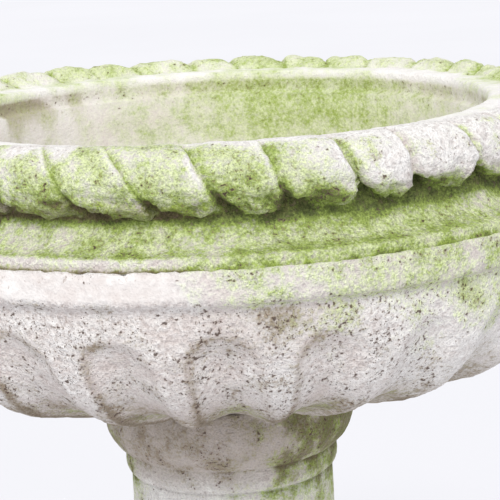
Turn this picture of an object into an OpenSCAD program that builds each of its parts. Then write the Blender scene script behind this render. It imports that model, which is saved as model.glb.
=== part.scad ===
// Bird bath: a fluted cast-stone bowl with a rope rim, lifted onto a turned column that stands
// on a square plinth. Millimetres, +Z up, origin on the ground at the centre of the plinth.

/* [Overall] */
// Height from the ground to the crown of the rope
total_h = 720; // [680:10:800]

/* [Bowl] */
// Diameter over the plain band, the widest part of the bowl
bowl_d = 500; // [490:2:510]
// Diameter of the basin at the rim
basin_d = 365; // [350:1:368]
// Depth from the flat of the rim to the bearing face underneath
bowl_depth = 192; // [190:1:196]
// Thickness of the basin floor
floor_t = 40; // [38:1:44]
// Number of scooped flutes round the belly
flute_n = 24; // [20:1:24]
// Radius of the cutter that scoops a flute
flute_r = 27; // [26:1:27]
// Greatest depth of a flute
flute_depth = 9.5; // [9:0.5:10]

/* [Rope] */
// Number of lobes in the rope
rope_n = 36; // [24:1:38]
// Radius of the rope
rope_r = 20; // [19:0.5:21]
// Lean of the grooves between the lobes, in degrees
rope_lean = 33; // [20:1:38]
// Radius of the groove between two lobes
rope_groove_r = 6; // [4:0.5:7]

/* [Drain] */
// Inner radius of the drain sleeve
sleeve_r = 10; // [9:0.5:11]
// Wall of the drain sleeve
sleeve_wall = 3; // [2:0.5:4]
// Length of the spigot that centres the bowl on the column
spigot_l = 25; // [20:1:35]
// Length of the tapered part of the bung
bung_l = 18; // [12:1:24]

/* [Column] */
// Radius of the shaft under the capital
neck_r = 69.5; // [67:0.5:71]
// Radius of the shaft above the foot
shaft_foot_r = 72; // [70:0.5:74]
// Radius of the hollow core
core_r = 30; // [29:0.5:34]
// Widest radius of the rounded capital
capital_r = 86.5; // [84:0.5:90]
// Widest radius of the foot moulding
foot_r = 112; // [108:1:116]

/* [Plinth] */
// Side of the square plinth
plinth_w = 250; // [240:5:300]
// Height of the plinth
plinth_h = 50; // [46:1:60]
// Chamfer along the plinth's upper edges
plinth_chamfer = 8; // [4:1:12]
// Radius of the drain hole through the plinth
plinth_hole_r = 22; // [18:1:26]
// Thickness of the mortar bed
bed_t = 8; // [5:1:12]

/* [Steel] */
// Radius of the reinforcing bars and hoops
bar_r = 3; // [2.5:0.5:4]
// Radius of the tie wire and of the bowl's ribs
wire_r = 2; // [1.5:0.5:2.5]
// Radius of the two foot dowels
dowel_r = 6; // [5:0.5:7]
// Thickness of the grout round each dowel
grout_t = 2; // [1:0.5:3]

/* [Hidden] */
$fn = 96;

// Small gap round a piece that is cast in, so that its solid is clear of the stone
cast_gap = 0.1;
// Gap between pieces that move past each other
run_gap = 0.3;

// Levels above the ground
rim_z = total_h - 5;
base_z = rim_z - bowl_depth;
seat_t = 2;
column_top = base_z - seat_t;
column_foot = plinth_h + bed_t;

// Bowl profile, as radii and as heights under the flat of the rim
band_r = bowl_d / 2;
basin_r = basin_d / 2;
rope_c = [band_r - 32, 5 - rope_r];
seat_flat_r = 80;
seat_ring_r = seat_flat_r - 1;
under_r = 600;
under_c = sqrt(pow(under_r, 2) - pow(seat_flat_r, 2)) - bowl_depth;
belly_r = 80;
belly_x = band_r - 6 - belly_r;
belly_c = [belly_x, under_c - sqrt(pow(under_r - belly_r, 2) - pow(belly_x, 2))];
band_top = -61;
band_bottom = -79;
fillet_r = band_r - 7;
cavetto_r = 24;
floor_z = floor_t - bowl_depth;
corner_r = 60;
wall_r = basin_r - 4.5;
lip_h = 15;
plug_seat = [20, 4];
spigot_r = core_r - 2;

// Reinforcement in the bowl: a hoop under the rope, a hoop round the floor and ribs between
rib_c = [band_r - 110, -92];
rib_r = 68;
rib_n = 6;
rim_hoop = [rib_c[0] + rib_r, rib_c[1] + 12];
base_hoop = [rib_c[0] + 10, rib_c[1] - rib_r + 3];
rib_ends = [-74, 6.5];

// Reinforcement in the column and the plinth
bar_ring = 50;
bar_ends = [column_foot + 17, column_top - 40];
tie_ring = bar_ring + bar_r + wire_r + 0.2;
tie_levels = [column_foot + 80, (column_foot + column_top) / 2, column_top - 60];
dowel_ring = 62;
dowel_ends = [plinth_h - 35, column_foot + 52];
mesh_pitch = 85;
mesh_z = 22;

// Column mouldings, as heights above its foot
foot_torus = 15;
neck_torus = 9;
neck_z = column_top - 50;
capital_z = column_top - 41;
shaft_z = column_foot + 97;

module around(count, start = 0) {
    for (i = [0 : count - 1])
        rotate([0, 0, start + i * 360 / count])
            children();
}

module ring(radius, level, wire) {
    rotate_extrude()
        translate([radius, level])
            circle(r = wire);
}

module tube(outer, inner, length) {
    difference() {
        cylinder(r = outer, h = length);
        translate([0, 0, -1])
            cylinder(r = inner, h = length + 2);
    }
}

// ---- bowl ----

// Rounded belly: a tight shoulder that runs into a nearly flat underside
module belly_profile() {
    turn = [belly_c[0] * under_r / (under_r - belly_r), under_c
            + (belly_c[1] - under_c) * under_r / (under_r - belly_r)];
    intersection() {
        union() {
            translate(belly_c)
                circle(r = belly_r, $fn = 180);
            intersection() {
                translate([0, under_c])
                    circle(r = under_r, $fn = 360);
                polygon([[0, band_bottom], [0, under_c - under_r - 5],
                         [turn[0], under_c - under_r - 5], turn, belly_c, [belly_c[0], band_bottom]]);
            }
        }
        translate([0, -bowl_depth])
            square([band_r, bowl_depth + band_bottom]);
    }
}

// Rim, cavetto, fillet and plain band above the belly
module moulding_profile() {
    difference() {
        union() {
            translate([0, -37])
                square([rope_c[0] + 2, 37]);
            translate([0, band_bottom - 5])
                square([fillet_r - 0.5, -36 - band_bottom + 5]);
        }
        translate([band_r - 5, cavetto_r - 54])
            circle(r = cavetto_r);
    }
    translate([0, band_bottom])
        square([band_r, band_top - band_bottom]);
}

module basin_profile() {
    translate([wall_r - corner_r - 1.5, floor_z + corner_r])
        circle(r = corner_r);
    polygon([[0, floor_z], [wall_r - corner_r - 1.5, floor_z],
             [wall_r - corner_r - 1.5, floor_z + corner_r], [wall_r - 1.5, floor_z + corner_r],
             [wall_r, -lip_h], [basin_r, -lip_h], [basin_r, 40], [0, 40]]);
}

module rope() {
    difference() {
        ring(rope_c[0], rope_c[1], rope_r);
        around(rope_n)
            translate([rope_c[0], 0, rope_c[1]])
                rotate([90 + rope_lean, 0, 0])
                    ring(rope_r + rope_groove_r / 2, 0, rope_groove_r);
    }
}

// One flute: a round top, an arc over the shoulder and a run inwards along the underside
module flute() {
    path_r = belly_r + flute_r - flute_depth;
    start = -18;
    finish = -71;
    run_in = 78;
    translate([belly_c[0], 0, belly_c[1]]) {
        rotate([90, 0, 0])
            rotate([0, 0, finish])
                rotate_extrude(angle = start - finish)
                    translate([path_r, 0])
                        circle(r = flute_r);
        rotate([0, -start, 0])
            translate([path_r, 0, 0])
                sphere(r = flute_r + 0.7);
        rotate([0, -finish, 0])
            translate([path_r, 0, 0])
                rotate([0, 9, 0])
                    translate([0, 0, 2 - run_in])
                        cylinder(r1 = flute_r * 0.72, r2 = flute_r + 0.5, h = run_in);
    }
}

module rib(extra = 0) {
    translate([rib_c[0], 0, rib_c[1]])
        rotate([90, 0, 0])
            rotate([0, 0, rib_ends[0]])
                rotate_extrude(angle = rib_ends[1] - rib_ends[0])
                    translate([rib_r, 0])
                        circle(r = wire_r + extra);
}

module bowl() {
    color([0.87, 0.84, 0.81])
        translate([0, 0, rim_z])
            difference() {
                union() {
                    rotate_extrude($fn = 180) {
                        belly_profile();
                        moulding_profile();
                    }
                    rope();
                    translate([0, 0, -bowl_depth - spigot_l])
                        cylinder(r = spigot_r, h = spigot_l + 10);
                }
                rotate_extrude($fn = 180)
                    basin_profile();
                translate([0, 0, floor_z - plug_seat[1]])
                    cylinder(r = plug_seat[0], h = plug_seat[1] + 1);
                translate([0, 0, -bowl_depth - spigot_l - 1])
                    cylinder(r = sleeve_r + sleeve_wall + cast_gap, h = spigot_l + bowl_depth);
                around(flute_n, -90)
                    flute();
                ring(rim_hoop[0], rim_hoop[1], bar_r + cast_gap);
                ring(base_hoop[0], base_hoop[1], bar_r + cast_gap);
                around(rib_n, -80)
                    rib(cast_gap);
            }
}

module bowl_rim_hoop() {
    color([0.45, 0.38, 0.33])
        translate([0, 0, rim_z])
            ring(rim_hoop[0], rim_hoop[1], bar_r);
}

module bowl_base_hoop() {
    color([0.45, 0.38, 0.33])
        translate([0, 0, rim_z])
            ring(base_hoop[0], base_hoop[1], bar_r);
}

module bowl_ribs() {
    color([0.5, 0.43, 0.37])
        translate([0, 0, rim_z])
            around(rib_n, -80)
                rib();
}

module drain_sleeve() {
    color([0.55, 0.56, 0.57])
        translate([0, 0, base_z - spigot_l])
            tube(sleeve_r + sleeve_wall, sleeve_r, bowl_depth + floor_z - plug_seat[1] + spigot_l);
}

module drain_bung() {
    head_z = rim_z + floor_z - plug_seat[1] + run_gap;
    stem_h = 9;
    knob_r = 7;
    color([0.16, 0.16, 0.16])
        translate([0, 0, head_z]) {
            translate([0, 0, -bung_l])
                cylinder(r1 = sleeve_r - 1.4, r2 = sleeve_r - 0.4, h = bung_l);
            cylinder(r = plug_seat[0] - 2, h = plug_seat[1]);
            cylinder(r = 4, h = plug_seat[1] + stem_h);
            translate([0, 0, plug_seat[1] + stem_h])
                sphere(r = knob_r);
        }
}

module seat_ring() {
    color([0.42, 0.41, 0.39])
        translate([0, 0, column_top])
            tube(seat_ring_r, core_r + 4, seat_t);
}

// ---- column ----

module column_profile() {
    h = column_foot;
    // foot: lower torus, scotia between two fillets, upper torus
    translate([foot_r - foot_torus, h + foot_torus])
        circle(r = foot_torus);
    translate([0, h])
        square([foot_r - foot_torus, 2 * foot_torus]);
    difference() {
        translate([0, h + 30])
            square([foot_r - 18, 29]);
        translate([foot_r - 15, h + 45])
            circle(r = 10);
        translate([foot_r - 24, h + 45])
            square([20, 15]);
    }
    translate([foot_r - 30, h + 68])
        circle(r = neck_torus);
    translate([0, h + 55])
        square([foot_r - 30, 26]);
    // apophyge that turns up into the shaft
    difference() {
        translate([0, h + 81])
            square([shaft_foot_r + 10, 16]);
        translate([shaft_foot_r + 16, h + 97])
            circle(r = 16);
    }
    // tapered shaft and its neck ring
    polygon([[0, shaft_z], [shaft_foot_r, shaft_z], [neck_r, neck_z], [0, neck_z]]);
    translate([neck_r - 5.5, neck_z])
        circle(r = neck_torus);
    translate([0, neck_z - neck_torus])
        square([neck_r - 5.5, 2 * neck_torus]);
    // capital: one full round that carries the bowl
    intersection() {
        union() {
            translate([capital_r - 30, column_top - 17])
                circle(r = 30);
            translate([0, capital_z])
                square([capital_r - 30, 41]);
        }
        translate([0, capital_z])
            square([capital_r + 1, 41]);
    }
}

module dowel_places() {
    around(2, 45)
        translate([dowel_ring, 0, 0])
            children();
}

module dowel_hole() {
    dowel_places()
        translate([0, 0, dowel_ends[0] - cast_gap])
            cylinder(r = dowel_r + grout_t + cast_gap, h = dowel_ends[1] - dowel_ends[0] + 2 * cast_gap);
}

module column_bar(extra = 0) {
    translate([bar_ring, 0, bar_ends[0] - extra])
        cylinder(r = bar_r + extra, h = bar_ends[1] - bar_ends[0] + 2 * extra);
}

module column() {
    color([0.84, 0.81, 0.77])
        difference() {
            rotate_extrude()
                column_profile();
            translate([0, 0, column_foot - 1])
                cylinder(r = core_r, h = column_top - column_foot + 2);
            dowel_hole();
            around(4)
                column_bar(cast_gap);
            for (level = tie_levels)
                ring(tie_ring, level, wire_r + cast_gap);
        }
}

module column_bars() {
    color([0.45, 0.38, 0.33])
        around(4)
            column_bar();
}

module column_ties() {
    color([0.5, 0.43, 0.37])
        for (level = tie_levels)
            ring(tie_ring, level, wire_r);
}

module mortar_bed() {
    color([0.66, 0.64, 0.6])
        difference() {
            translate([0, 0, plinth_h])
                tube(foot_r - foot_torus - 1, core_r + 1, bed_t);
            dowel_places()
                translate([0, 0, plinth_h - 1])
                    cylinder(r = dowel_r + cast_gap, h = bed_t + 2);
        }
}

module foot_dowels() {
    color([0.62, 0.62, 0.63])
        dowel_places()
            translate([0, 0, dowel_ends[0]])
                cylinder(r = dowel_r, h = dowel_ends[1] - dowel_ends[0]);
}

module dowel_grout() {
    color([0.5, 0.49, 0.47])
        dowel_places() {
            translate([0, 0, dowel_ends[0]])
                tube(dowel_r + grout_t, dowel_r + cast_gap, plinth_h - dowel_ends[0]);
            translate([0, 0, column_foot])
                tube(dowel_r + grout_t, dowel_r + cast_gap, dowel_ends[1] - column_foot);
        }
}

// ---- plinth ----

module plinth_bar_pair(level, turn, extra = 0) {
    half = plinth_w / 2 - 18;
    rotate([0, 0, turn])
        for (side = [-1, 1])
            translate([side * mesh_pitch, -half - extra, level])
                rotate([-90, 0, 0])
                    cylinder(r = bar_r + extra, h = 2 * (half + extra));
}

module plinth_mesh(extra = 0) {
    plinth_bar_pair(mesh_z, 0, extra);
    plinth_bar_pair(mesh_z + 2 * bar_r + 0.5, 90, extra);
}

module plinth() {
    half = plinth_w / 2;
    color([0.82, 0.79, 0.75])
        difference() {
            translate([-half, -half, 0])
                cube([plinth_w, plinth_w, plinth_h]);
            around(4)
                translate([half - plinth_chamfer, 0, plinth_h])
                    rotate([0, 45, 0])
                        translate([0, -plinth_w, 0])
                            cube([3 * plinth_chamfer, 2 * plinth_w, 3 * plinth_chamfer]);
            translate([0, 0, -1])
                cylinder(r = plinth_hole_r, h = plinth_h + 2);
            dowel_hole();
            plinth_mesh(cast_gap);
        }
}

module plinth_bars() {
    color([0.45, 0.38, 0.33])
        plinth_mesh();
}

bowl();
bowl_rim_hoop();
bowl_base_hoop();
bowl_ribs();
drain_sleeve();
drain_bung();
seat_ring();
column();
column_bars();
column_ties();
mortar_bed();
foot_dowels();
dowel_grout();
plinth();
plinth_bars();
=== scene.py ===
"""The looks of the bird bath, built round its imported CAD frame.

The bowl, the column and the plinth are castings, so each is one lathed grid of points whose
rope, flutes, wear and bruises are worked into the geometry. Lengths are in millimetres until
a mesh is made, and then in metres, in the frame's own axes. Heights on the bowl are counted
from the flat of its rim, and azimuths round it in degrees to the right of its front.
"""

import math

import bpy
import numpy as np
from mathutils import Matrix, Vector, noise


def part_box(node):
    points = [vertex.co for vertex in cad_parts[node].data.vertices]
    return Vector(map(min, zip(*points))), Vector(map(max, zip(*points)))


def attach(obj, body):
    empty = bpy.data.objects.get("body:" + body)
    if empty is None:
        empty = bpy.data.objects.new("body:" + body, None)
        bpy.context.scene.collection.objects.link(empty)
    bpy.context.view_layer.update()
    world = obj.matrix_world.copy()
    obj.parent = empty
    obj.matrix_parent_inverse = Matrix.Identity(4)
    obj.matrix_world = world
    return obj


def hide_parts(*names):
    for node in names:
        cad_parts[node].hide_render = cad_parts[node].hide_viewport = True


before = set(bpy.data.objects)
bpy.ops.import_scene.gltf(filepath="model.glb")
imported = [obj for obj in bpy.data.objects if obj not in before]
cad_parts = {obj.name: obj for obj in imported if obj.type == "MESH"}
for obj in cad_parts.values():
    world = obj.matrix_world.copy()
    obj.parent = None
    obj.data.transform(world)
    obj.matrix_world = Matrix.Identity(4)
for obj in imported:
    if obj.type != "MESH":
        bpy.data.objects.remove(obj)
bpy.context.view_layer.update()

MM = 0.001
SEED = 7

# ---- sizes, from the frame where it holds them ----

bowl_low, bowl_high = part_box("bowl")
column_low, column_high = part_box("column")
plinth_low, plinth_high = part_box("plinth")

BAND_R = round((bowl_high.x - bowl_low.x) / 2 / MM)
CROWN_H = 5.0                 # the rope's crown above the flat of the rim
RIM_Z = bowl_high.z / MM - CROWN_H
SPIGOT_END = bowl_low.z / MM - RIM_Z
SPIGOT_R = 28.0
BASIN_R = 182.5
BOWL_BASE = -192.0            # the face that the bowl is bedded on
SEAT_R = 80.0
FLOOR_Z = BOWL_BASE + 40.0
BORE_R = 13.1                 # the hole for the drain sleeve

# heights of the mouldings on the outside of the bowl
HOLLOW_TOP = -34.0
BEAD_Z = -61.0
BAND_FOOT = -78.0

ROPE_R = 20.0
ROPE_X = BAND_R - 32.0        # the middle of the rope's section
ROPE_Z = CROWN_H - ROPE_R
ROPE_SPAN = (-41.0, 170.0)    # the part of the section that shows, in degrees from straight up
ROPE_ROWS = 46
ROPE_LOBES = 36
ROPE_TWIST = 6.3              # degrees that a groove moves round the bowl in half a rope's turn
ROPE_PHASE = -21.4            # azimuth of the first groove

FLUTES = 24
FLUTE_HALF = 21.5             # half the width of a scoop
FLUTE_DEPTH = 9.0
FLUTE_TOP = -99.0
FLUTE_REACH = 85.0            # from a scoop's top to its lower tip, along the belly

# the belly is a round shoulder that runs on into a much flatter underside
BELLY_R = 80.0
BELLY_X = BAND_R - 6.0 - BELLY_R
UNDER_R = 600.0
UNDER_Z = math.sqrt(UNDER_R**2 - SEAT_R**2) + BOWL_BASE
BELLY_Z = UNDER_Z - math.sqrt((UNDER_R - BELLY_R) ** 2 - BELLY_X**2)

COLUMNS_PER_LOBE = 16
COLUMNS = ROPE_LOBES * COLUMNS_PER_LOBE

# how far the front's grooves stray from an even spacing, in degrees, on the crown and underneath
GROOVE_STRAY = [(-1.4, 0.1), (-1.8, 0.8), (-0.5, 0.2), (0.6, -0.9), (0.7, 0.5), (0.7, -1.4),
                (1.6, 0.8)]
# the same for the ridges between the flutes, at their tops and at their lower tips
RIDGE_STRAY = [(-0.2, 3.9), (-0.6, 1.3), (-0.8, 1.3), (0.7, -2.4), (-1.1, -2.0)]
RIDGE_FIRST = -22.7
# how much of the flutes' depth the weather has left, by azimuth
FLUTE_WORN = [(-40, 0.85), (-18, 0.92), (2, 0.95), (14, 0.72), (30, 0.68), (60, 0.95), (180, 1.0)]


# ---- small helpers ----

def line(start, end, count):
    """count points from start up to, and without, end."""
    t = np.arange(count) / count
    return np.stack([start[0] + (end[0] - start[0]) * t, start[1] + (end[1] - start[1]) * t], 1)


def arc(centre, radius, first, last, count):
    """count points round an arc from first up to, and without, last, in degrees from +X."""
    a = np.radians(first + (last - first) * np.arange(count) / count)
    return np.stack([centre[0] + radius * np.cos(a), centre[1] + radius * np.sin(a)], 1)


def smooth(low, high, x):
    t = np.clip((x - low) / (high - low), 0.0, 1.0)
    return t * t * (3 - 2 * t)


def bell(x, width):
    return np.exp(-((x / width) ** 2))


def wrapped(azimuth):
    """An azimuth counted from -180 to 180, so that the front is in the middle."""
    return (azimuth + 180) % 360 - 180


def all_round(azimuth, table):
    """Values given at a few azimuths, read at each azimuth all round."""
    return np.interp(azimuth, [a for a, _ in table], [v for _, v in table], period=360)


def fractal(points, size, octaves, shift=0.0):
    """Smooth noise about nought, mostly within 0.6, with features of about size millimetres.

    Each shift gives another pattern."""
    flat = points.reshape(-1, 3) / size + shift
    out = [noise.fractal(p, 1.0, 2.0, octaves, noise_basis="PERLIN_ORIGINAL") for p in flat]
    return np.array(out).reshape(points.shape[:-1])


def normals_of(points):
    """Unit normals of a grid of points that closes in both directions."""
    along = np.roll(points, -1, 0) - np.roll(points, 1, 0)
    round_ = np.roll(points, -1, 1) - np.roll(points, 1, 1)
    n = np.cross(along, round_)
    return n / np.maximum(np.linalg.norm(n, axis=2, keepdims=True), 1e-9)


def lathe_points(radius, azimuth, height):
    """Points at a radius, an azimuth in degrees right of the front, and a height."""
    a = np.radians(azimuth - 90)
    return np.stack([radius * np.cos(a), radius * np.sin(a), height], 2)


# the damp, soil and chalk masks carry painted shade and painted highlights as well as real damp,
# soil and clean skin
MASKS = ("algae", "damp_and_shade", "pores", "chalk_and_painted_light", "soil_and_shade", "calm")


def grid_object(name, points, masks):
    """A closed mesh from a grid of points in millimetres, with one float attribute per mask."""
    rows, columns = points.shape[:2]
    i, j = np.meshgrid(np.arange(rows), np.arange(columns), indexing="ij")
    i2, j2 = (i + 1) % rows, (j + 1) % columns
    quads = np.stack([i * columns + j, i2 * columns + j, i2 * columns + j2, i * columns + j2], 2)
    mesh = bpy.data.meshes.new(name)
    mesh.from_pydata((points.reshape(-1, 3) * MM).tolist(), [], quads.reshape(-1, 4).tolist())
    mesh.polygons.foreach_set("use_smooth", [True] * len(mesh.polygons))
    for key in MASKS:
        values = np.broadcast_to(masks[key], (rows, columns))
        layer = mesh.attributes.new(key, "FLOAT", "POINT")
        layer.data.foreach_set("value", np.clip(values, 0, 1).astype(np.float32).ravel())
    mesh.update()
    piece = bpy.data.objects.new(name, mesh)
    bpy.context.scene.collection.objects.link(piece)
    return piece


# ---- bowl ----

def bowl_rows():
    """The bowl's outline from the drain, over the rim, down to the spigot and up its bore.

    Gives the points and the name of the zone that each is in."""
    recess_r, corner_r, corner_x = 20.0, 60.0, 116.5
    lip_r, cavetto_r = 4.0, 24.0
    cavetto = (BAND_R - 5.0, cavetto_r - 54.0)
    turn = math.degrees(math.atan2(BELLY_Z - UNDER_Z, BELLY_X))
    seat_angle = -math.degrees(math.acos(SEAT_R / UNDER_R))
    parts = [
        ("floor", line((BORE_R, FLOOR_Z - 4), (recess_r, FLOOR_Z - 4), 2)),
        ("floor", line((recess_r, FLOOR_Z - 4), (recess_r + 0.6, FLOOR_Z - 0.5), 2)),
        ("floor", line((recess_r + 1.2, FLOOR_Z), (corner_x, FLOOR_Z), 6)),
        ("wall", arc((corner_x, FLOOR_Z + corner_r), corner_r, -90, 0, 8)),
        ("wall", line((corner_x + corner_r, FLOOR_Z + corner_r), (178, -18), 5)),
        ("wall", line((178, -16.8), (181.5, -15.2), 2)),
        ("wall", line((BASIN_R, -14), (BASIN_R, -lip_r), 3)),
        ("ring", arc((BASIN_R + lip_r, -lip_r), lip_r, 180, 90, 3)),
        ("ring", line((BASIN_R + lip_r, 0), (ROPE_X - 14.0, 0), 3)),
        ("rope", np.zeros((ROPE_ROWS, 2))),
        ("hollow", arc(cavetto, cavetto_r, 192, 266, 9)),
        ("fillet", line((BAND_R - 6.6, -54.6), (BAND_R - 6.4, -59.8), 2)),
        ("crease", line((BAND_R - 6.0, BEAD_Z), (BAND_R - 2.6, -60.9), 2)),
        ("bead", np.array([[BAND_R - 1.6, -59.8], [BAND_R - 0.4, -60.0]])),
        ("band", np.array([[BAND_R - 0.4, -61.4], [BAND_R, -62.4]])),
        ("band", line((BAND_R, -65.5), (BAND_R, BAND_FOOT), 4)),
        ("soffit", np.array([[BAND_R - 0.5, -79.0], [BAND_R - 2.0, -80.2], [BAND_R - 5.0, -82.0]])),
        ("belly", arc((BELLY_X, BELLY_Z), BELLY_R, 4.5, turn, 40)),
        ("belly", arc((0, UNDER_Z), UNDER_R, turn, seat_angle, 18)),
        ("seat", line((SEAT_R, BOWL_BASE), (SPIGOT_R, BOWL_BASE), 3)),
        ("seat", line((SPIGOT_R, BOWL_BASE - 1), (SPIGOT_R, SPIGOT_END + 1.5), 2)),
        ("seat", line((SPIGOT_R - 1.5, SPIGOT_END), (BORE_R, SPIGOT_END), 2)),
        ("seat", line((BORE_R, SPIGOT_END + 1), (BORE_R, FLOOR_Z - 5), 2)),
    ]
    outline = np.concatenate([p for _, p in parts])
    zones = np.concatenate([[zone] * len(p) for zone, p in parts])
    return outline, zones


def rope_angles(count):
    """Angles round the rope, from straight up, packed a little closer underneath."""
    first, last = ROPE_SPAN
    t = np.linspace(0, 1, count)
    return first + (last - first) * (t + 0.07 * np.sin(np.pi * t))


def stray(rng, count, spread, front):
    """Random strays for count places, in degrees, at two levels, with the front's own first."""
    table = rng.normal(0, spread, (count, 2)).clip(-2 * spread, 2 * spread)
    table[:len(front)] = front
    return table


def bowl_azimuths(rng, zones, theta):
    """Each grid point's azimuth: the columns follow the rope's grooves, and gather at them."""
    u = np.arange(COLUMNS) / COLUMNS_PER_LOBE
    lobe = np.floor(u).astype(int)
    gather = np.where(zones == "rope", 0.55, np.where(zones == "hollow", 0.3, 0.0))[:, None]
    across = (u - lobe) - gather * np.sin(2 * math.pi * u) / (2 * math.pi)
    across = np.clip(across, 0, 1)
    pitch = 360 / ROPE_LOBES
    table = stray(rng, ROPE_LOBES, 0.8, GROOVE_STRAY)
    after = np.append(table, table[:1], 0)
    low = np.clip((theta - 5) / 135, 0, 1.1)[:, None]
    keep = np.where(zones == "belly", 0.0, 1.0)[:, None]
    here = after[lobe, 0] * (1 - low) + after[lobe, 1] * low
    next_ = after[lobe + 1, 0] * (1 - low) + after[lobe + 1, 1] * low
    drift = (here * (1 - across) + next_ * across) * keep
    twist = ROPE_TWIST * (theta[:, None] - 90) / 180
    return ROPE_PHASE + (lobe + across) * pitch + drift + twist, lobe, across


def rope_surface(rng, theta, lobe, across, azimuth):
    """The rope's radius at each point, and three masks.

    The masks are the groove, the worn edge of the lobe before it, which is also painted pale as a
    highlight, and the lee behind it, where shade is painted."""
    width = 2 * math.pi * (ROPE_X + ROPE_R * np.sin(np.radians(theta))) / ROPE_LOBES
    after_groove = across * width
    before_groove = (1 - across) * width
    cut = all_round(azimuth, ROPE_CUT)
    # the far side is the least worn: its lobes stand up, with open grooves between them
    far = bell(theta - 4, 40) * smooth(100, 130, np.abs(wrapped(azimuth)))
    gentle = np.interp(theta, [0, 60, 95, 120, 140, 170], [1.7, 2.2, 3.0, 5.0, 7.5, 9.0])
    steep = np.interp(theta, [0, 60, 95, 120, 140, 170], [1.0, 1.2, 1.6, 2.4, 4.0, 5.0])
    gentle = gentle * (0.35 + 0.65 * cut) + 2.4 * far
    steep = steep * (0.35 + 0.65 * cut) + 1.6 * far
    groove = np.maximum(np.exp(-((after_groove / gentle) ** 1.3)),
                        np.exp(-((before_groove / steep) ** 1.6)))
    depth = np.interp(theta, [-41, -15, 5, 25, 60, 90, 112, 130, 150, 170],
                      [0, 0.3, 0.8, 2.0, 2.9, 3.6, 5.2, 8.2, 10.0, 10.5])
    depth = depth + 2.6 * far
    faded = 1 - smooth(1.0, 0.6, cut) * 0.45 * bell(theta - 100, 34)
    size = (1 + rng.uniform(-0.25, 0.25, ROPE_LOBES)[lobe]) * cut * faded
    plump = 0.9 + rng.uniform(-0.7, 0.9, ROPE_LOBES)[lobe]
    belly = np.sin(math.pi * across**1.35) - 0.55
    swell = belly * plump * smooth(-30, 60, theta) + 1.8 * far * (np.sin(math.pi * across) - 0.5)
    tip = rng.uniform(-0.6, 1.4, ROPE_LOBES)[lobe] * bell(theta - 135, 30) * (1 - groove)
    # the worn edge of each lobe, which is also painted pale as a highlight
    worn_edge_and_highlight = bell(before_groove - steep - 2.0, 1.7)
    # the lee behind each groove, where shade is painted dark
    lee_painted_shade = bell(after_groove - 2.5, 3.0)
    return ROPE_R - 0.4 - depth * groove * size + swell + tip, groove, worn_edge_and_highlight, lee_painted_shade


def flute_surface(rng, outline, azimuth):
    """How deep the scoops go at each point of the belly, their edges, and the side of each.

    The side runs from -1 at a scoop's left to 1 at its right."""
    step = np.linalg.norm(np.diff(outline, axis=0), axis=1)
    run = np.concatenate([[0], np.cumsum(step)])
    top = np.interp(-FLUTE_TOP, -outline[:, 1], run)
    pitch = 360 / FLUTES
    strays = stray(rng, FLUTES, 0.7, RIDGE_STRAY)
    ridges = RIDGE_FIRST + np.arange(FLUTES) * pitch
    low = np.clip((run - top) / FLUTE_REACH, 0, 1.1)[:, None]
    shift = (np.interp(azimuth, ridges, strays[:, 0], period=360) * (1 - low)
             + np.interp(azimuth, ridges, strays[:, 1], period=360) * low)
    turn = (azimuth - shift - RIDGE_FIRST) / pitch
    index = np.floor(turn).astype(int) % FLUTES
    level = rng.uniform(-2.0, 2.0, FLUTES)[index]
    deep = (1 + rng.uniform(-0.12, 0.12, FLUTES)[index]) * all_round(azimuth, FLUTE_WORN)
    radius = outline[:, :1]
    span = math.radians(pitch) * radius
    lateral = (turn - np.floor(turn) - 0.5) * span
    half = np.minimum(FLUTE_HALF, span / 2 - 1.0)
    below = run[:, None] - top - level
    above = np.maximum(half - below, 0)
    inside = 1 - (lateral**2 + above**2) / half**2
    soft = (inside + np.sqrt(inside**2 + 0.008)) / 2      # rounds the arris where a scoop begins
    fade = smooth(84, 112, radius) * (half / FLUTE_HALF)
    depth = FLUTE_DEPTH * deep * fade * soft
    edge = bell(inside - 0.1, 0.22) * smooth(-6, 2, below) * smooth(90, 130, radius)
    return depth, edge, np.clip(lateral / half, -1, 1)


# how green each part of the bowl is, by azimuth
ALGAE = {
    "rope": [(-180, 0.74), (-130, 0.6), (-90, 0.6), (-55, 0.7), (-36, 0.72), (-30, 0.7),
             (-20, 0.86), (-6, 0.8), (4, 0.7), (12, 0.66), (17, 0.45), (25, 0.22), (60, 0.3),
             (95, 0.66), (140, 0.76)],
    "under": [(-180, 0.6), (-60, 0.8), (-40, 0.85), (-14, 0.8), (-4, 0.88), (8, 1.0), (40, 1.0),
              (80, 0.7), (140, 0.6)],
    "hollow": [(-180, 0.8), (-120, 0.7), (-60, 0.9), (-34, 0.95), (-20, 0.72), (-8, 0.68),
               (2, 0.85), (14, 0.85), (40, 0.9), (90, 0.8), (140, 0.65)],
    "band": [(-180, 0.3), (-120, 0.55), (-70, 0.2), (-36, 0.0), (-8, 0.0), (-4, 0.25), (0, 0.5),
             (4, 0.62), (12, 0.56), (24, 0.47), (36, 0.56), (70, 0.6), (110, 0.2), (150, 0.45)],
    "ring": [(-180, 0.5), (-130, 0.5), (-60, 0.24), (-30, 0.1), (30, 0.1), (60, 0.2), (110, 0.42)],
    "belly": [(-180, 0.3), (-120, 0.5), (-70, 0.1), (-30, 0.0), (6, 0.06), (14, 0.24),
              (20, 0.1), (27, 0.25), (34, 0.6), (60, 0.5), (100, 0.1), (150, 0.35)],
    "wall": [(-180, 0.6), (-160, 0.45), (-140, 0.25), (-112, 0.2), (-80, 0.4), (0, 0.5),
             (80, 0.4), (105, 0.4), (128, 0.6), (145, 0.72), (165, 0.76)],
}
# how many pores the belly has, by azimuth
PORES_BELLY = [(-180, 0.7), (-110, 1.0), (-50, 0.95), (-34, 1.1), (-24, 0.95), (-12, 1.08),
               (-2, 1.15), (6, 1.3), (18, 1.2), (25, 0.95), (45, 0.45), (90, 0.9), (140, 0.7)]
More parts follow.
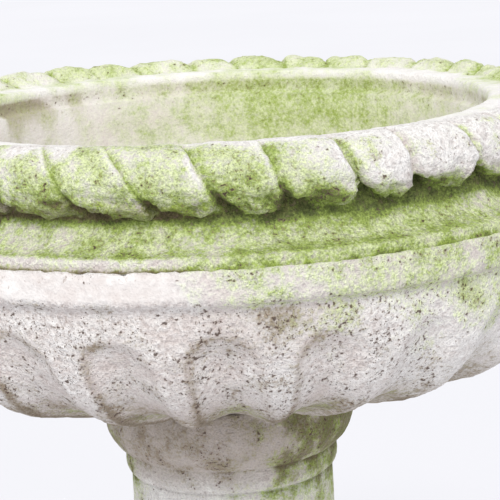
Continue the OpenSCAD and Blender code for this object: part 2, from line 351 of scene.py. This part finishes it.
# how deep the rope's grooves are cut, against the even depth, by azimuth
ROPE_CUT = [(-180, 1.0), (-60, 0.9), (-38, 0.7), (-24, 0.55), (-8, 0.5), (2, 0.7), (12, 0.9),
            (22, 1.05), (60, 1.0)]
# how far the rope rises above its even height, in millimetres, by azimuth
ROPE_RISE = [(-180, 2.0), (-150, 3.0), (-125, 4.5), (-95, 3.0), (-60, 0.0), (95, 0.0), (140, 1.2)]


def build_bowl():
    rng = np.random.default_rng(SEED)
    outline, zones = bowl_rows()
    rows = len(outline)
    is_rope, is_belly = zones == "rope", zones == "belly"
    rope_last = np.nonzero(is_rope)[0].max()
    theta = np.full(rows, ROPE_SPAN[0])
    theta[is_rope] = rope_angles(ROPE_ROWS)
    theta[rope_last + 1:] = ROPE_SPAN[1]
    azimuth, lobe, across = bowl_azimuths(rng, zones, theta)
    theta = theta[:, None]

    radius = np.repeat(outline[:, :1], COLUMNS, 1)
    height = np.repeat(outline[:, 1:], COLUMNS, 1)
    groove, worn_edge_and_highlight, lee_painted_shade, flute, edge, side = (np.zeros((rows, COLUMNS)) for _ in range(6))
    th = np.repeat(theta[is_rope], COLUMNS, 1)
    rope_r, groove[is_rope], worn_edge_and_highlight[is_rope], lee_painted_shade[is_rope] = rope_surface(
        rng, th, lobe, across[is_rope], azimuth[is_rope])
    radius[is_rope] = ROPE_X + rope_r * np.sin(np.radians(th))
    rise = (all_round(azimuth[is_rope], ROPE_RISE) * smooth(ROPE_SPAN[0], 0, th)
            * smooth(ROPE_SPAN[1], 90, th))
    height[is_rope] = ROPE_Z + rope_r * np.cos(np.radians(th)) + rise

    flute[is_belly], edge[is_belly], side[is_belly] = flute_surface(
        rng, outline[is_belly], azimuth[is_belly])
    slope = np.gradient(outline, axis=0)
    slope /= np.maximum(np.linalg.norm(slope, axis=1, keepdims=True), 1e-9)
    radius += flute * slope[:, 1:]
    height -= flute * slope[:, :1]

    azimuth = wrapped(azimuth)
    z = outline[:, 1:]
    zone = {name: (zones == name)[:, None] for name in np.unique(zones)}
    outside = (np.arange(rows) > rope_last)[:, None]
    points = lathe_points(radius, azimuth, height)
    points = weathered(points, radius, azimuth, z, theta, zone, outside)
    masks = bowl_masks(points, azimuth, z, theta, zone, groove, worn_edge_and_highlight, lee_painted_shade,
                       flute / FLUTE_DEPTH, edge, side)
    return grid_object("cast_bowl", points + np.array([0, 0, RIM_Z]), masks)


def weathered(points, radius, azimuth, z, theta, zone, outside):
    """The bowl's points with its swells, bruises, grain and chips, least where it is bedded."""
    exposed = smooth(SEAT_R, 120, radius) * np.where(outside | zone["rope"], 1.0, 0.55)
    swells = fractal(points, 46, 2)
    bruises = fractal(points, 13, 3, 20.0)
    grain = fractal(points, 4.5, 2, 50.0)
    tips = zone["rope"] * smooth(95, 125, theta)
    front = smooth(110, 80, np.abs(azimuth))
    crown = 1 - 0.65 * front * smooth(60, 10, theta)
    worn = 0.55 * swells + np.where(zone["rope"], (1.9 + 1.4 * tips) * crown, 0.7) * bruises
    worn = worn + np.where(zone["rope"], (0.75 + 0.6 * tips) * crown, 0.42) * grain
    bites = -2.6 * tips * smooth(0.06, 0.36, fractal(points, 10, 2, 150.0))
    chips = bites - 1.8 * smooth(0.3, 0.7, bruises) * (np.abs(z - BEAD_Z) < 3) * outside
    return points + normals_of(points) * ((worn + chips) * exposed)[..., None]


def bowl_masks(points, azimuth, z, theta, zone, groove, worn_edge_and_highlight, lee_painted_shade, flute, edge, side):
    """Where the bowl carries algae, damp, pores, clean chalky skin, soil, and a calm surface, with
    painted shade and painted highlights carried in the damp, soil and chalk masks.

    The weights in each sum say how strongly a feature draws or repels the mask."""
    patch = fractal(points, 60, 3, 90.0)
    spot = fractal(points, 20, 3, 130.0)
    fine = fractal(points, 8, 2, 170.0)
    rope, hollow, belly, ring = (zone[k] for k in ("rope", "hollow", "belly", "ring"))
    moulding = zone["fillet"] | zone["crease"] | zone["bead"] | zone["band"] | zone["soffit"]
    inner = zone["wall"] | zone["floor"]

    # regions of the front, by azimuth
    left = smooth(6, -8, azimuth) * smooth(-130, -80, azimuth)
    to_right = smooth(0, 16, azimuth) * smooth(130, 80, azimuth)
    # regions of the rope, by the angle round its section
    under = smooth(85, 140, theta) * rope
    low = smooth(0, 1, (theta - 55 - 45 * to_right) / (70 - 25 * to_right))
    recess = smooth(5, 40, theta) * (1 - 0.5 * smooth(50, 95, theta)) * rope
    # two patches on the left of the crown are painted highlights, made pale by clearing the algae;
    # the crown from the front round to the right is clean stone
    bare_crown_and_highlight = (bell(azimuth + 29, 2.8) + bell(azimuth + 22, 2.6)) * smooth(58, 20, theta)
    bare_crown_and_highlight = bare_crown_and_highlight + (0.6 * smooth(-12, 6, azimuth) * smooth(100, 60, azimuth)
                   * smooth(30, 0, theta))
    # regions of the belly and of the basin, mostly by height
    crusted = bell(azimuth - 8, 9) * smooth(-124, -98, z) * belly
    tucked = smooth(-140, -165, z) * belly
    # the left side of each scoop, where its shade falls: heavier soil and pores and less chalk on
    # the edge there are painted shade
    shaded_side = 0.35 + 0.65 * smooth(0.5, -0.6, side)
    lip = smooth(-22, -12, z) * inner
    wet_wall = smooth(-75, -40, z) * inner
    far_wall = inner * smooth(120, 150, np.abs(azimuth))
    left_wall = bell(azimuth + 127, 12) * wet_wall

    # on the rope, more algae in the lee of each groove goes under its painted shade and less on the
    # worn edge under its painted highlight; the top of the hollow is covered fully under the rope's
    # painted shade
    algae = np.select([rope, hollow, moulding, belly, inner, ring], [
        all_round(azimuth, ALGAE["rope"]) * (1 - low) + all_round(azimuth, ALGAE["under"]) * low
        + 0.2 * groove + 0.3 * lee_painted_shade * recess - 0.95 * bare_crown_and_highlight - 0.35 * worn_edge_and_highlight * recess
        - 0.35 * smooth(12, -20, theta) * smooth(80, 50, np.abs(azimuth)),
        all_round(azimuth, ALGAE["hollow"]) + 0.3 * smooth(HOLLOW_TOP - 8, HOLLOW_TOP, z),
        all_round(azimuth, ALGAE["band"]) + 0.35 * (zone["fillet"] | zone["crease"]),
        all_round(azimuth, ALGAE["belly"]) * smooth(-150, -90, z) + 0.16 * tucked * (0.4 + flute),
        all_round(azimuth, ALGAE["wall"]) * (0.35 + 0.65 * wet_wall),
        all_round(azimuth, ALGAE["ring"])], 0.3)
    uneven = np.where(inner, 0.4, np.where(moulding, 0.6, 1.0)) * smooth(0.02, 0.25, algae)
    algae = algae + (0.4 * patch + 0.4 * spot) * uneven

    # the damp mask is mostly painted shade here: in the rope's grooves, under the rope, in the lee
    # of each groove, in the hollow under the rope and at its foot, and in the crease; it is also
    # darker in patches on the rope's lower side, on the far inner wall and on the belly's underside
    damp_and_shade = groove * (0.15 + 0.85 * under) + under * (0.2 + 0.5 * smooth(-0.1, 0.5, spot))
    damp_and_shade = damp_and_shade + 0.22 * lee_painted_shade * recess
    damp_and_shade = damp_and_shade + 0.18 * smooth(60, 105, theta) * rope * smooth(0, 0.4, spot)
    painted_shade_in_hollow = (smooth(HOLLOW_TOP - 9, HOLLOW_TOP, z)
                 + 0.35 * smooth(-50, -40, z) * smooth(-14, 4, azimuth))
    painted_shade_in_hollow = painted_shade_in_hollow + 0.5 * smooth(-47, -37, z) * to_right * smooth(-0.2, 0.4, spot)
    damp_and_shade = damp_and_shade + hollow * (painted_shade_in_hollow + 0.35 * smooth(-50, -54, z))
    damp_and_shade = damp_and_shade + 0.24 * far_wall
    damp_and_shade = damp_and_shade + zone["crease"] * (0.5 + 0.4 * left + 0.9 * fine) + 0.25 * tucked

    # pores gather at three places along the band's upper edge
    gathered = 1.3 * (bell(azimuth + 24, 1.4) + bell(azimuth + 17.3, 1.6))
    gathered = gathered + 0.5 * bell(azimuth - 30, 30)
    pores = np.select([belly, moulding, rope | hollow, inner], [
        all_round(azimuth, PORES_BELLY) * smooth(-205, -150, z)
        + (0.3 + 0.6 * smooth(24, 6, azimuth)) * edge * shaded_side - 0.1 * flute + 0.5 * patch
        + 0.5 * spot + 1.1 * crusted + 0.6 * bell(azimuth - 20, 7) * smooth(-130, -95, z),
        0.12 + (0.5 + gathered) * bell(z - BEAD_Z + 2.5, 3.0)
        + 0.75 * smooth(BAND_FOOT + 4, BAND_FOOT - 1, z) + 0.6 * spot + 0.3 * fine,
        0.6 + 0.3 * under + 0.5 * spot - 0.3 * bare_crown_and_highlight,
        0.3 + 0.5 * lip], 0.12)

    # less chalk in the rope's grooves and underneath and on the scoops' shaded sides is painted
    # shade; more on the rope's worn edges is a painted highlight, and more on the belly's right
    # side is painted light
    chalk_and_painted_light = np.select([moulding, rope, belly, ring, inner], [
        0.58 + 0.3 * spot,
        0.85 - 0.5 * groove - 0.4 * under + 0.2 * spot + 0.2 * worn_edge_and_highlight,
        0.57 - 0.3 * edge * shaded_side * smooth(26, 10, azimuth) - 0.15 * flute + 0.35 * spot
        + 0.2 * patch + 0.35 * smooth(5, 40, azimuth) * smooth(120, 60, azimuth),
        0.95,
        0.85 - 0.25 * wet_wall + 0.3 * patch], 0.5)

    # soil is real in patches, but its brown under the rope at the left, in the crease and on the
    # scoops' shaded sides is painted shade
    soil_and_shade = np.select([belly, inner, rope | hollow, moulding], [
        (0.12 + 0.48 * smooth(20, 2, azimuth)) * edge * shaded_side + 0.12 * flute
        + 0.3 * smooth(0.1, 0.6, spot) + 0.1 * fine + 0.42 * crusted + 0.6 * tucked,
        0.16 * wet_wall + 0.3 * patch + 0.5 * lip * smooth(-0.3, 0.4, spot)
        + 0.28 * left_wall * smooth(-0.3, 0.4, spot),
        (0.15 + 0.75 * left) * smooth(95, 140, theta) * (rope | (z > HOLLOW_TOP - 3))
        + 0.25 * smooth(0, 0.6, spot),
        (0.35 + 0.55 * left) * zone["crease"]
        + 0.35 * smooth(BAND_FOOT + 6, BAND_FOOT - 2, z) * smooth(-0.2, 0.4, spot)], 0.0)

    calm = np.where(inner, 0.68, np.where(ring, 0.6, 0.0))
    calm = calm + 0.5 * rope * smooth(5, -20, theta)
    calm = calm + 0.7 * zone["band"] * smooth(0.5, 0.0, algae)
    calm = np.maximum(calm, 0.45 * smooth(75, 110, np.abs(azimuth)))
    return {"algae": algae, "damp_and_shade": damp_and_shade, "pores": pores, "chalk_and_painted_light": chalk_and_painted_light, "soil_and_shade": soil_and_shade,
            "calm": calm}


# ---- column and plinth ----

COLUMN_FOOT = column_low.z / MM
COLUMN_TOP = column_high.z / MM
CAPITAL_Z = COLUMN_TOP - 41
NECK_Z = COLUMN_TOP - 50
CORE_R = 30.0
# how green the column is, by azimuth
ALGAE_COLUMN = [(-180, 0.4), (-120, 0.25), (-88, 0.5), (-66, 0.3), (-50, 0.1), (-10, 0.14),
                (8, 0.24), (24, 0.42), (40, 0.56), (62, 0.64), (90, 0.66), (130, 0.3)]


def column_rows():
    """The column's outline, from the core's foot, out and up to its bearing face and back down."""
    foot, top = COLUMN_FOOT, COLUMN_TOP
    parts = [
        line((CORE_R, foot), (97, foot), 4),
        arc((97, foot + 15), 15, -90, 90, 14),
        line((94, foot + 30), (93.5, foot + 35), 2),
        arc((97, foot + 45), 10, 245, 115, 8),
        line((90, foot + 55), (88, foot + 58.5), 2),
        arc((82, foot + 68), 9, -80, 80, 10),
        line((82.4, foot + 77.5), (82, foot + 80.5), 2),
        arc((88, foot + 97), 16, 250, 180, 7),
        line((72, foot + 97), (69.6, NECK_Z - 10.5), 34),
        line((69.6, NECK_Z - 9.5), (70.4, NECK_Z - 8.6), 2),
        arc((65.6, NECK_Z - 1.2), 7.8, -62, -6, 5),
        line((73.4, NECK_Z - 0.5), (73.2, NECK_Z + 7.2), 3),
        line((72.6, CAPITAL_Z - 0.7), (73.0, CAPITAL_Z + 0.6), 2),
        arc((56.5, top - 17), 30, -50, 33, 18),
        line((81.6, top - 0.4), (80.6, top), 2),
        line((79, top), (CORE_R + 1, top), 4),
        line((CORE_R, top - 1), (CORE_R, foot + 1), 12),
    ]
    return np.concatenate(parts)


def build_column():
    outline = column_rows()
    azimuth = np.broadcast_to(np.arange(360.0), (len(outline), 360))
    x, z = outline[:, :1], outline[:, 1:]
    points = lathe_points(np.broadcast_to(x, azimuth.shape), azimuth,
                          np.broadcast_to(z, azimuth.shape))
    exposed = smooth(CORE_R + 4, CORE_R + 20, x) * smooth(0, 10, COLUMN_TOP - z)
    worn = (0.7 * fractal(points, 60, 2, 10.0) + 0.4 * fractal(points, 14, 3, 30.0)
            + 0.2 * fractal(points, 4.5, 2, 5.0))
    points = points + normals_of(points) * (worn * exposed)[..., None]

    patch = fractal(points, 40, 3, 70.0)
    spot = fractal(points, 14, 3, 170.0)
    # under and near the bowl the column is painted darker as the bowl's shade, partly soil as well:
    # less chalk and more soil and damp there, and paler below the neck
    under_bowl = smooth(62, 34, COLUMN_TOP - z)
    near_bowl = smooth(150, 20, COLUMN_TOP - z)
    splash = smooth(COLUMN_FOOT + 150, COLUMN_FOOT, z)
    seams = bell(z - CAPITAL_Z, 1.4) + bell(z - NECK_Z + 9.5, 1.6)
    algae = all_round(azimuth, ALGAE_COLUMN) * (0.9 - 0.2 * under_bowl + 0.3 * splash)
    algae = algae + (0.35 * patch + 0.2 * spot) * smooth(0.05, 0.3, algae) + 0.25 * splash
    return grid_object("cast_column", points, {
        "algae": algae,
        "damp_and_shade": 0.7 * seams + 0.45 * near_bowl * smooth(0.1, 0.6, algae),
        "pores": 0.5 + 0.6 * spot + 0.75 * under_bowl * smooth(-0.15, 0.3, patch),
        "chalk_and_painted_light": 0.62 + 0.3 * smooth(NECK_Z - 6, NECK_Z - 14, z) - 0.45 * under_bowl + 0.3 * spot,
        "soil_and_shade": 0.5 * under_bowl + 0.06 + 0.35 * spot + 0.2 * patch
                + 0.5 * smooth(0.25, 0.6, algae),
        "calm": 0.1})


def build_plinth():
    """The plinth: a round hole inside, and a square outline with bruised arrises outside."""
    half = (plinth_high.x - plinth_low.x) / 2 / MM
    top = plinth_high.z / MM
    hole, chamfer, foot_round, column_foot_r = 22.0, 8.0, 2.2, 99
    # each row is in the hole at a height, on a face at a share of the way out, or on the side
    # at an inset and a height
    rows = [("hole", hole, 0.3), ("hole", hole, top * 0.5), ("hole", hole, top - 0.8)]
    rows += [("face", share, top) for share in np.linspace(0.02, 1, 14) ** 0.8 * 0.985]
    rows += [("side", chamfer * (1 - t), top - chamfer * t) for t in (0.06, 0.35, 0.65, 0.94)]
    rows += [("side", 0.0, z) for z in np.linspace(top - chamfer - 1, foot_round, 9)]
    rows += [("side", 0.7, 0.6), ("side", foot_round, 0.0)]
    rows += [("face", share, 0.0) for share in (0.97, 0.8, 0.6, 0.4, 0.2, 0.03)]
    azimuth = np.arange(480) * 0.75
    a = np.radians(azimuth)
    flat = np.maximum(np.abs(np.cos(a)), np.abs(np.sin(a)))
    square = (1 - 0.035 * bell(flat - math.sqrt(0.5), 0.018)) / flat      # with rounded corners
    radius, height = [], []
    for kind, across, z in rows:
        if kind == "hole":
            radius.append(np.full(len(a), across))
        elif kind == "side":
            radius.append((half - across) * square)
        else:
            edge = (half - (chamfer if z else foot_round)) * square
            radius.append(hole + (edge - hole) * across)
        height.append(np.full(len(a), z))
    radius, height = np.array(radius), np.array(height)
    points = lathe_points(radius, np.broadcast_to(azimuth, radius.shape), height)
    exposed = smooth(40, 70, radius) * smooth(0.5, 6, height)
    outer = np.array([kind == "side" for kind, _, _ in rows])[:, None]
    worn = 0.6 * fractal(points, 50, 2, 33.0) + 0.5 * fractal(points, 12, 3, 44.0)
    worn = worn - 1.5 * smooth(0.25, 0.7, fractal(points, 22, 2, 55.0)) * outer
    points = points + normals_of(points) * (worn * exposed)[..., None]

    patch = fractal(points, 45, 3, 66.0)
    spot = fractal(points, 16, 3, 77.0)
    damp_and_shade = smooth(9, 1, height) * outer + bell(radius - column_foot_r, 5) * (height > top - 1)
    return grid_object("cast_plinth", points, {
        "algae": 0.4 + 0.35 * patch + 0.2 * spot + 0.2 * smooth(30, 4, height) * outer,
        "damp_and_shade": 0.7 * damp_and_shade,
        "pores": 0.35 + 0.3 * spot,
        "chalk_and_painted_light": 0.45 + 0.2 * spot,
        "soil_and_shade": 0.3 + 0.3 * patch,
        "calm": 0.2})


# ---- materials ----

# the soil brown and the wet green and brown also paint shade under the rope, in its grooves, in the
# crease and under the bowl
SOIL_AND_SHADE_BROWN = (0.35, 0.29, 0.22, 1)
GREEN_DRY = (0.60, 0.66, 0.37, 1)
GREEN_THICK = (0.29, 0.385, 0.065, 1)
GREEN_DAMP_AND_SHADE = (0.085, 0.115, 0.016, 1)
BROWN_DAMP_AND_SHADE = (0.14, 0.105, 0.065, 1)
PORE_RIM = (0.30, 0.21, 0.165, 1)
PORE_DEEP = (0.085, 0.055, 0.042, 1)


class Nodes:
    """Short names for the node editor's steps, on one material."""

    def __init__(self, name):
        self.material = bpy.data.materials.new(name)
        self.material.use_nodes = True
        self.tree = self.material.node_tree
        self.shader = self.tree.nodes["Principled BSDF"]
        coordinates = self.tree.nodes.new("ShaderNodeTexCoord")
        self.place = coordinates.outputs["Object"]

    def put(self, socket, value):
        if isinstance(value, bpy.types.NodeSocket):
            self.tree.links.new(value, socket)
        else:
            socket.default_value = value

    def math(self, operation, *values):
        node = self.tree.nodes.new("ShaderNodeMath")
        node.operation = operation
        for socket, value in zip(node.inputs, values):
            self.put(socket, value)
        return node.outputs[0]

    def sum(self, *terms):
        """The sum of sockets and numbers, each alone or in a pair with its factor."""
        total = 0.0
        for term in terms:
            value, factor = term if isinstance(term, tuple) else (term, 1.0)
            total = self.math("MULTIPLY_ADD", value, factor, total)
        return total

    def ramp(self, value, low, high, out_low=0.0, out_high=1.0):
        node = self.tree.nodes.new("ShaderNodeMapRange")
        node.interpolation_type = "SMOOTHSTEP"
        for key, number in (("Value", value), ("From Min", low), ("From Max", high),
                            ("To Min", out_low), ("To Max", out_high)):
            self.put(node.inputs[key], number)
        return node.outputs["Result"]

    def noise(self, scale, detail, rough=0.55, place=None):
        """Noise about nought, mostly between -1 and 1."""
        node = self.tree.nodes.new("ShaderNodeTexNoise")
        self.put(node.inputs["Vector"], place or self.place)
        node.inputs["Scale"].default_value = scale
        node.inputs["Detail"].default_value = detail
        node.inputs["Roughness"].default_value = rough
        return self.math("MULTIPLY_ADD", node.outputs["Fac"], 4.0, -2.0)

    def mask(self, name):
        node = self.tree.nodes.new("ShaderNodeAttribute")
        node.attribute_name = name
        return node.outputs["Fac"]

    def mix(self, factor, a, b):
        node = self.tree.nodes.new("ShaderNodeMix")
        node.data_type = "RGBA"
        colours = [s for s in node.inputs if s.type == "RGBA"]
        self.put(node.inputs["Factor"], factor)
        self.put(colours[0], a)
        self.put(colours[1], b)
        return next(s for s in node.outputs if s.type == "RGBA")

    def scale(self, colour, factor):
        node = self.tree.nodes.new("ShaderNodeVectorMath")
        node.operation = "SCALE"
        self.put(node.inputs[0], colour)
        self.put(node.inputs["Scale"], factor)
        return node.outputs[0]

    def bump(self, height, strength, distance):
        node = self.tree.nodes.new("ShaderNodeBump")
        node.inputs["Strength"].default_value = strength
        node.inputs["Distance"].default_value = distance
        self.put(node.inputs["Height"], height)
        self.put(self.shader.inputs["Normal"], node.outputs["Normal"])


def pit(n, texture, density, rare, common):
    """Irregular holes where a noise passes a limit that falls as density rises, and their rims."""
    limit = n.math("MULTIPLY_ADD", density, common - rare, rare)
    over = n.math("SUBTRACT", texture, limit)
    return n.ramp(over, 0.0, 0.2), n.ramp(over, -0.5, 0.1)


def stone_material(name, pale, mid):
    """Weathered cast stone: pale skin, warm aggregate, open pores, and algae over all of it."""
    n = Nodes(name)
    algae, damp_and_shade, pores, chalk_and_painted_light, soil_and_shade, calm = (n.mask(k) for k in MASKS)
    lively = n.math("SUBTRACT", 1.0, calm)
    cloud = n.math("MULTIPLY", n.noise(75, 4, 0.6), n.ramp(calm, 0.3, 0.8, 1.0, 0.5))
    fleck = n.math("MULTIPLY", n.noise(300, 3, 0.6), lively)
    moss = n.math("MULTIPLY", n.noise(560, 2, 0.6), lively)
    grit = n.math("MULTIPLY", n.noise(900, 1, 0.6), lively)

    # the stone itself, and the soil in it, whose brown also paints shade under the rope, in the
    # crease and under the bowl
    skin = n.sum((chalk_and_painted_light, 0.8), (cloud, 0.28), (fleck, 0.22), (moss, 0.1))
    stone = n.mix(n.ramp(skin, -0.15, 0.9), mid, pale)
    dirt_and_shade = n.sum(soil_and_shade, (fleck, 0.34), (moss, 0.3), (cloud, 0.25))
    dirt_and_shade = n.math("MULTIPLY", n.ramp(dirt_and_shade, 0.05, 1.0), n.ramp(soil_and_shade, 0.0, 0.12))
    stone = n.mix(dirt_and_shade, stone, SOIL_AND_SHADE_BROWN)

    # algae grows between the grains, so its edge is speckled, and it is darkest where it is damp
    # and where shade is painted on it
    cover = n.sum(algae, (moss, 0.26), (fleck, 0.28), (cloud, 0.34), (damp_and_shade, 0.35))
    cover = n.math("MULTIPLY", n.ramp(cover, 0.05, 1.0), n.ramp(algae, 0.02, 0.35))
    tone = n.sum((damp_and_shade, 0.8), (algae, 0.36), (chalk_and_painted_light, -0.3), 0.13, (n.noise(420, 3, 0.65), 0.42),
                 (cloud, 0.4))
    green = n.mix(n.ramp(tone, 0.0, 0.75), GREEN_DRY, GREEN_THICK)
    green = n.mix(n.ramp(tone, 0.55, 1.3), green, GREEN_DAMP_AND_SHADE)
    colour = n.mix(n.math("MULTIPLY", cover, 0.95), stone, green)
    # damp and soil turn the colour brown, and so does the painted shade under the rope, in the
    # crease and under the bowl
    wet_soil_and_shade = n.sum((damp_and_shade, 0.55), (soil_and_shade, 0.75), (moss, 0.25))
    colour = n.mix(n.ramp(wet_soil_and_shade, 0.5, 1.25, 0.0, 0.85), colour, BROWN_DAMP_AND_SHADE)
    uneven = n.sum((grit, 0.32), (moss, 0.24), (fleck, 0.24))
    shade = n.math("MULTIPLY_ADD", uneven, n.ramp(cover, 0.0, 1.0, 0.45, 1.0), 1.0)
    colour = n.scale(colour, n.math("MINIMUM", n.math("MAXIMUM", shade, 0.42), 1.3))

    # pores of three sizes
    density = n.sum(pores, (cloud, 0.3), (calm, -0.2))
    small = pit(n, n.noise(900, 1, 0.5), density, 1.45, 0.6)
    middling = pit(n, n.noise(420, 1.5, 0.5), density, 1.4, 0.62)
    large = pit(n, n.noise(180, 2.5, 0.6), density, 1.7, 0.92)
    holes = n.math("MAXIMUM", n.math("MAXIMUM", small[0], middling[0]), large[0])
    rims = n.math("MAXIMUM", middling[1], large[1])
    colour = n.mix(n.math("MULTIPLY", rims, 0.5), colour, PORE_RIM)
    colour = n.mix(n.math("MULTIPLY", holes, 0.82), colour, PORE_DEEP)
    n.put(n.shader.inputs["Base Color"], colour)

    n.put(n.shader.inputs["Roughness"], n.ramp(cover, 0.0, 1.0, 0.84, 0.95))
    n.shader.inputs["Specular IOR Level"].default_value = 0.25
    lumps = n.math("MULTIPLY", n.noise(130, 4, 0.65), lively)
    relief = n.sum((grit, 0.2), (moss, 0.3), (fleck, 0.6), (lumps, 0.9), (holes, -1.2))
    n.bump(relief, 0.65, 0.0017)
    return n.material


def plain_material(name, light, dark, roughness, scale, depth, metal, streak):
    """A two-tone mottled surface for the small pieces: metal, rubber, plastic or mortar."""
    n = Nodes(name)
    mapping = n.tree.nodes.new("ShaderNodeMapping")
    mapping.inputs["Scale"].default_value = (1, 1, streak)
    n.put(mapping.inputs["Vector"], n.place)
    place = mapping.outputs["Vector"]
    broad = n.noise(scale, 4, 0.6, place)
    fine = n.noise(scale * 7, 3, 0.6, place)
    n.put(n.shader.inputs["Base Color"], n.mix(n.ramp(broad, -0.6, 0.7), dark, light))
    n.put(n.shader.inputs["Roughness"],
          n.ramp(fine, -0.8, 0.8, roughness - 0.08, roughness + 0.08))
    n.shader.inputs["Metallic"].default_value = metal
    n.bump(fine, 0.5, depth)
    return n.material


# ---- pieces ----

bowl = build_bowl()
column = build_column()
plinth = build_plinth()

bowl.data.materials.append(
    stone_material("bowl_stone_look", (0.86, 0.84, 0.82, 1), (0.64, 0.565, 0.535, 1)))
column.data.materials.append(
    stone_material("column_stone_look", (0.84, 0.82, 0.79, 1), (0.56, 0.50, 0.46, 1)))
plinth.data.materials.append(
    stone_material("plinth_stone_look", (0.78, 0.75, 0.71, 1), (0.50, 0.46, 0.41, 1)))

for piece, body, node, slot in ((bowl, "bowl", "bowl", "bowl_stone"),
                                (column, "stand", "column", "column_stone"),
                                (plinth, "stand", "plinth", "plinth_stone")):
    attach(piece, body)
    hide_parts(node)

# the pieces that keep the CAD's own meshes: the look's name, its nodes, its light and dark
# colour, roughness, pattern scale, bump depth, metalness and stretch along Z
SMALL_LOOKS = (
    ("bar_look", ("bowl_rim_hoop", "bowl_base_hoop", "column_bars", "plinth_bars"),
     (0.34, 0.20, 0.12, 1), (0.12, 0.08, 0.06, 1), 0.8, 120, 0.0006, 0.4, 1.0),
    ("wire_look", ("bowl_ribs", "column_ties"),
     (0.50, 0.49, 0.47, 1), (0.30, 0.28, 0.26, 1), 0.5, 200, 0.0003, 0.8, 1.0),
    ("dowel_look", ("foot_dowels",),
     (0.62, 0.62, 0.62, 1), (0.5, 0.5, 0.5, 1), 0.32, 150, 0.0001, 1.0, 0.05),
    ("mortar_look", ("mortar_bed",),
     (0.60, 0.58, 0.53, 1), (0.36, 0.34, 0.30, 1), 0.88, 90, 0.0016, 0.0, 1.0),
    ("grout_look", ("dowel_grout",),
     (0.45, 0.44, 0.42, 1), (0.32, 0.31, 0.30, 1), 0.88, 160, 0.0006, 0.0, 1.0),
    ("sleeve_look", ("drain_sleeve",),
     (0.40, 0.41, 0.42, 1), (0.28, 0.29, 0.28, 1), 0.55, 80, 0.0002, 0.0, 1.0),
    ("bung_look", ("drain_bung",),
     (0.055, 0.055, 0.052, 1), (0.022, 0.022, 0.022, 1), 0.6, 110, 0.0003, 0.0, 1.0),
    ("seat_ring_look", ("seat_ring",),
     (0.30, 0.28, 0.25, 1), (0.20, 0.19, 0.17, 1), 0.85, 140, 0.0004, 0.0, 1.0),
)
for name, nodes, *look in SMALL_LOOKS:
    material = plain_material(name, *look)
    for node in nodes:
        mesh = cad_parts[node].data
        mesh.materials.clear()
        mesh.materials.append(material)


# ---- floor, light and camera ----

def build_floor():
    half = 60.0
    corners = [(-half, -half, 0), (half, -half, 0), (half, half, 0), (-half, half, 0)]
    mesh = bpy.data.meshes.new("floor")
    mesh.from_pydata(corners, [], [(0, 1, 2, 3)])
    floor = bpy.data.objects.new("floor", mesh)
    bpy.context.scene.collection.objects.link(floor)
    n = Nodes("floor_look")
    tint = n.ramp(n.noise(0.6, 3), -1, 1)
    n.put(n.shader.inputs["Base Color"],
          n.mix(tint, (0.752, 0.751, 0.783, 1), (0.767, 0.766, 0.798, 1)))
    n.shader.inputs["Roughness"].default_value = 0.9
    n.shader.inputs["Specular IOR Level"].default_value = 0.0
    mesh.materials.append(n.material)


def build_light():
    scene = bpy.context.scene
    world = bpy.data.worlds.new("studio")
    world.use_nodes = True
    world.node_tree.nodes["Background"].inputs["Color"].default_value = (0.97, 0.98, 1.0, 1)
    world.node_tree.nodes["Background"].inputs["Strength"].default_value = 0.83
    scene.world = world
    sun = bpy.data.lights.new("soft_key", "SUN")
    sun.energy = 1.85
    sun.angle = math.radians(24)
    sun.color = (1.0, 0.985, 0.96)
    lamp = bpy.data.objects.new("soft_key", sun)
    lamp.rotation_mode = "QUATERNION"
    towards = Vector((-0.08, -0.8, 0.8))
    lamp.rotation_quaternion = towards.to_track_quat("Z", "Y")
    scene.collection.objects.link(lamp)
    scene.view_settings.view_transform = "Standard"


def build_camera():
    """A long lens in front of the bowl, a little above its rim, tipped down 12 degrees and
    rolled 3."""
    away, above_rim = 1.168, 0.1452
    pitch, yaw, roll = math.radians(11.97), math.radians(0.984), math.radians(2.889)
    forward = Vector((math.cos(pitch) * math.sin(yaw), math.cos(pitch) * math.cos(yaw),
                      -math.sin(pitch)))
    level = Vector((math.cos(yaw), -math.sin(yaw), 0))
    above = level.cross(forward)
    right = math.cos(roll) * level - math.sin(roll) * above
    up = math.sin(roll) * level + math.cos(roll) * above
    data = bpy.data.cameras.new("camera")
    data.sensor_width = 36
    data.lens = 126.02
    data.clip_start, data.clip_end = 0.05, 200
    camera = bpy.data.objects.new("camera", data)
    turn = Matrix((right, up, -forward)).transposed()
    place = Matrix.Translation((0, -away, RIM_Z * MM + above_rim))
    camera.matrix_world = place @ turn.to_4x4()
    bpy.context.scene.collection.objects.link(camera)
    bpy.context.scene.camera = camera


build_floor()
build_light()
build_camera()
